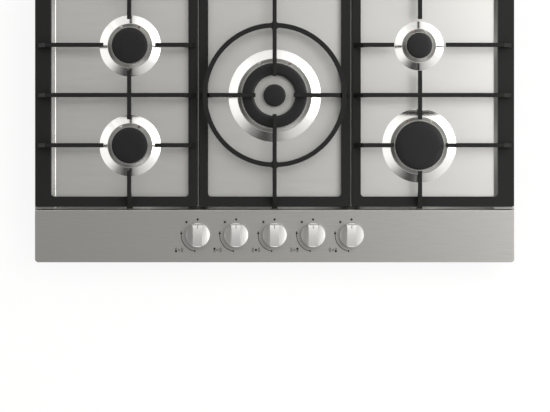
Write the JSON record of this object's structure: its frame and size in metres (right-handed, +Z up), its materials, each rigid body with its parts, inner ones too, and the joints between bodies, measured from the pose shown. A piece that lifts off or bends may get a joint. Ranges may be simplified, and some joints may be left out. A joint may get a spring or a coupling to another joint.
{
  "type": "gas cooktop",
  "caption": "Built-in gas cooktop: brushed steel panel with rotary knobs, cast-iron grates, a central wok burner with a ring and corner burners.",
  "frame": {"origin": "underside of the base tray, under the middle of the panel", "axes": "+X to the right of a person at the controls, +Y away from the person, +Z up; the control strip is at -Y"},
  "size_m": [0.86, 0.51, 0.096],
  "materials": {
    "panel_steel": "brushed stainless steel, long-grain",
    "zinc_steel": "hot-dip zinc coated sheet",
    "screw_steel": "bright zinc plated steel",
    "seal_foam": "closed-cell foam strip",
    "seal_rubber": "moulded rubber",
    "rail_steel": "plated steel tube",
    "pipe_aluminium": "drawn tube",
    "cast_aluminium": "die-cast",
    "turned_brass": "turned",
    "electrode_ceramic": "glazed ceramic with a steel pin",
    "copper_lead": "copper capillary lead",
    "grey_plastic": "moulded, fine texture",
    "white_plastic": "moulded",
    "knob_metal": "satin, metal plated",
    "spindle_brass": "turned, greased",
    "spring_steel": "drawn spring wire",
    "crown_aluminium": "die-cast, matt",
    "cap_enamel": "matt black enamel on steel",
    "grate_iron": "matt black enamel on cast iron",
    "pad_rubber": "moulded silicone rubber"
  },
  "bodies": {
    "root": {"top_panel": "panel_steel", "base_tray": "zinc_steel", "worktop_seal": "seal_foam", "worktop_clamps": "zinc_steel", "clamp_screws": "screw_steel", "casing_screws": "screw_steel", "panel_brackets": "zinc_steel", "burner_screws": "screw_steel", "gas_rail": "rail_steel", "inlet_elbow": "rail_steel", "inlet_washer": "seal_rubber", "burner_pipes": "pipe_aluminium", "burner_cups": "cast_aluminium", "injectors": "turned_brass", "spark_electrodes": "electrode_ceramic", "thermocouples": "copper_lead", "spark_generator": "grey_plastic", "terminal_box": "grey_plastic", "ignition_wires": "white_plastic", "tap_bodies": "cast_aluminium", "safety_valves": "turned_brass", "tap_switches": "white_plastic", "knob_gaskets": "seal_rubber"},
    "tap_plug_1": {"tap_cone_1": "spindle_brass", "tap_spring_1": "spring_steel"},
    "knob_1": {"knob_1": "knob_metal", "tap_spindle_1": "spindle_brass"},
    "tap_plug_2": {"tap_cone_2": "spindle_brass", "tap_spring_2": "spring_steel"},
    "knob_2": {"knob_2": "knob_metal", "tap_spindle_2": "spindle_brass"},
    "tap_plug_3": {"tap_cone_3": "spindle_brass", "tap_spring_3": "spring_steel"},
    "knob_3": {"knob_3": "knob_metal", "tap_spindle_3": "spindle_brass"},
    "tap_plug_4": {"tap_cone_4": "spindle_brass", "tap_spring_4": "spring_steel"},
    "knob_4": {"knob_4": "knob_metal", "tap_spindle_4": "spindle_brass"},
    "tap_plug_5": {"tap_cone_5": "spindle_brass", "tap_spring_5": "spring_steel"},
    "knob_5": {"knob_5": "knob_metal", "tap_spindle_5": "spindle_brass"},
    "crown_front_left": {"burner_crown_front_left": "crown_aluminium"},
    "cap_front_left": {"burner_cap_front_left": "cap_enamel"},
    "crown_rear_left": {"burner_crown_rear_left": "crown_aluminium"},
    "cap_rear_left": {"burner_cap_rear_left": "cap_enamel"},
    "crown_rear_right": {"burner_crown_rear_right": "crown_aluminium"},
    "cap_rear_right": {"burner_cap_rear_right": "cap_enamel"},
    "crown_front_right": {"burner_crown_front_right": "crown_aluminium"},
    "cap_front_right": {"burner_cap_front_right": "cap_enamel"},
    "crown_wok": {"burner_crown_wok": "crown_aluminium"},
    "cap_wok": {"burner_cap_wok": "cap_enamel"},
    "cap_wok_inner": {"wok_inner_cap": "cap_enamel"},
    "grate_left": {"grate_left": "grate_iron", "grate_pads_left": "pad_rubber"},
    "grate_centre": {"grate_centre": "grate_iron", "grate_pads_centre": "pad_rubber"},
    "grate_right": {"grate_right": "grate_iron", "grate_pads_right": "pad_rubber"}
  },
  "joints": [
    {"name": "knob_1_turn", "type": "hinge", "parent": "root", "child": "tap_plug_1", "pos_m": [-0.138, -0.206, 0.056], "axis": [0, 0, 1], "range_deg": [0, 170]},
    {"name": "knob_1_press", "type": "slide", "parent": "tap_plug_1", "child": "knob_1", "axis": [0, 0, -1], "range_m": [0, 0.003], "stiffness_N_per_m": 1200, "springref_m": -0.003, "deforming": ["tap_spring_1"]},
    {"name": "knob_2_turn", "type": "hinge", "parent": "root", "child": "tap_plug_2", "pos_m": [-0.069, -0.206, 0.056], "axis": [0, 0, 1], "range_deg": [0, 170]},
    {"name": "knob_2_press", "type": "slide", "parent": "tap_plug_2", "child": "knob_2", "axis": [0, 0, -1], "range_m": [0, 0.003], "stiffness_N_per_m": 1200, "springref_m": -0.003, "deforming": ["tap_spring_2"]},
    {"name": "knob_3_turn", "type": "hinge", "parent": "root", "child": "tap_plug_3", "pos_m": [0, -0.206, 0.056], "axis": [0, 0, 1], "range_deg": [0, 170]},
    {"name": "knob_3_press", "type": "slide", "parent": "tap_plug_3", "child": "knob_3", "axis": [0, 0, -1], "range_m": [0, 0.003], "stiffness_N_per_m": 1200, "springref_m": -0.003, "deforming": ["tap_spring_3"]},
    {"name": "knob_4_turn", "type": "hinge", "parent": "root", "child": "tap_plug_4", "pos_m": [0.069, -0.206, 0.056], "axis": [0, 0, 1], "range_deg": [0, 170]},
    {"name": "knob_4_press", "type": "slide", "parent": "tap_plug_4", "child": "knob_4", "axis": [0, 0, -1], "range_m": [0, 0.003], "stiffness_N_per_m": 1200, "springref_m": -0.003, "deforming": ["tap_spring_4"]},
    {"name": "knob_5_turn", "type": "hinge", "parent": "root", "child": "tap_plug_5", "pos_m": [0.138, -0.206, 0.056], "axis": [0, 0, 1], "range_deg": [0, 170]},
    {"name": "knob_5_press", "type": "slide", "parent": "tap_plug_5", "child": "knob_5", "axis": [0, 0, -1], "range_m": [0, 0.003], "stiffness_N_per_m": 1200, "springref_m": -0.003, "deforming": ["tap_spring_5"]},
    {"name": "crown_front_left_lift", "type": "slide", "parent": "root", "child": "crown_front_left", "axis": [0, 0, 1], "range_m": [0, 0.06]},
    {"name": "cap_front_left_lift", "type": "slide", "parent": "crown_front_left", "child": "cap_front_left", "axis": [0, 0, 1], "range_m": [0, 0.04]},
    {"name": "crown_rear_left_lift", "type": "slide", "parent": "root", "child": "crown_rear_left", "axis": [0, 0, 1], "range_m": [0, 0.06]},
    {"name": "cap_rear_left_lift", "type": "slide", "parent": "crown_rear_left", "child": "cap_rear_left", "axis": [0, 0, 1], "range_m": [0, 0.04]},
    {"name": "crown_rear_right_lift", "type": "slide", "parent": "root", "child": "crown_rear_right", "axis": [0, 0, 1], "range_m": [0, 0.06]},
    {"name": "cap_rear_right_lift", "type": "slide", "parent": "crown_rear_right", "child": "cap_rear_right", "axis": [0, 0, 1], "range_m": [0, 0.04]},
    {"name": "crown_front_right_lift", "type": "slide", "parent": "root", "child": "crown_front_right", "axis": [0, 0, 1], "range_m": [0, 0.02]},
    {"name": "cap_front_right_lift", "type": "slide", "parent": "crown_front_right", "child": "cap_front_right", "axis": [0, 0, 1], "range_m": [0, 0.04]},
    {"name": "crown_wok_lift", "type": "slide", "parent": "root", "child": "crown_wok", "axis": [0, 0, 1], "range_m": [0, 0.006]},
    {"name": "cap_wok_lift", "type": "slide", "parent": "crown_wok", "child": "cap_wok", "axis": [0, 0, 1], "range_m": [0, 0.005]},
    {"name": "cap_wok_inner_lift", "type": "slide", "parent": "crown_wok", "child": "cap_wok_inner", "axis": [0, 0, 1], "range_m": [0, 0.04]},
    {"name": "grate_left_lift", "type": "slide", "parent": "root", "child": "grate_left", "axis": [0, 0, 1], "range_m": [0, 0.15]},
    {"name": "grate_centre_lift", "type": "slide", "parent": "root", "child": "grate_centre", "axis": [0, 0, 1], "range_m": [0, 0.15]},
    {"name": "grate_right_lift", "type": "slide", "parent": "root", "child": "grate_right", "axis": [0, 0, 1], "range_m": [0, 0.15]}
  ]
}
